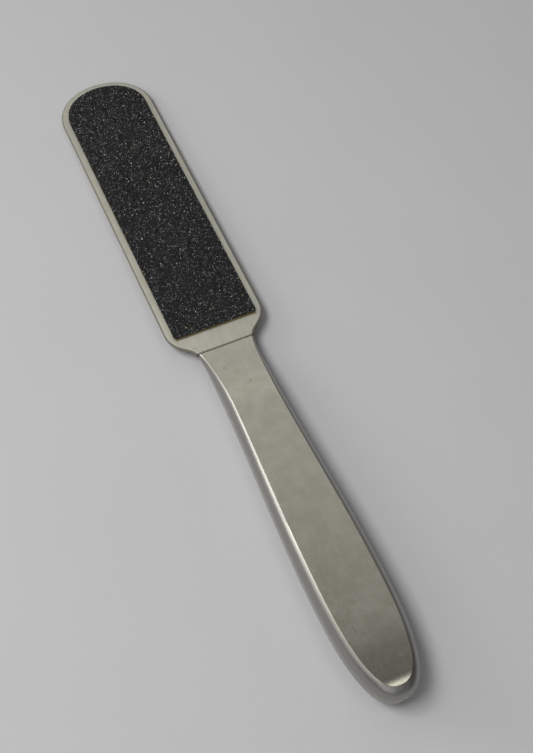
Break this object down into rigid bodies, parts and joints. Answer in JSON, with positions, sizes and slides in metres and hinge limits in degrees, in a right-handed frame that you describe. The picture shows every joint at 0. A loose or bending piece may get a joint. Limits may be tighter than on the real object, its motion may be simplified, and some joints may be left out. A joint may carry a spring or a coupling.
{
  "type": "foot file",
  "caption": "Foot file with a flat round-tipped steel head, a coarse abrasive pad on its front and a fine one on its back, and a hollow steel handle with flat ground faces.",
  "frame": {"origin": "centre of the bounding box: half way along the tool, on its middle line, on the plane where the handle's shells meet", "axes": "+Y runs along the tool from the handle's end to the head's tip, +Z points out of the coarse side, +X runs across it"},
  "size_m": [0.034, 0.254, 0.0116],
  "materials": {
    "head_steel": "matte satin, edges rubbed round",
    "handle_steel": "satin, ground lengthwise",
    "pad_adhesive": "clear amber film",
    "pad_backing": "resin-soaked brown backing, cut edge",
    "coarse_grit": "coarse black grains with bright facets",
    "fine_grit": "fine black grains"
  },
  "bodies": {
    "root": {"head_plate": "head_steel", "front_handle_shell": "handle_steel", "back_handle_shell": "handle_steel", "coarse_pad_adhesive": "pad_adhesive", "coarse_pad_backing": "pad_backing", "coarse_grit_layer": "coarse_grit", "fine_pad_adhesive": "pad_adhesive", "fine_pad_backing": "pad_backing", "fine_grit_layer": "fine_grit"}
  },
  "joints": []
}
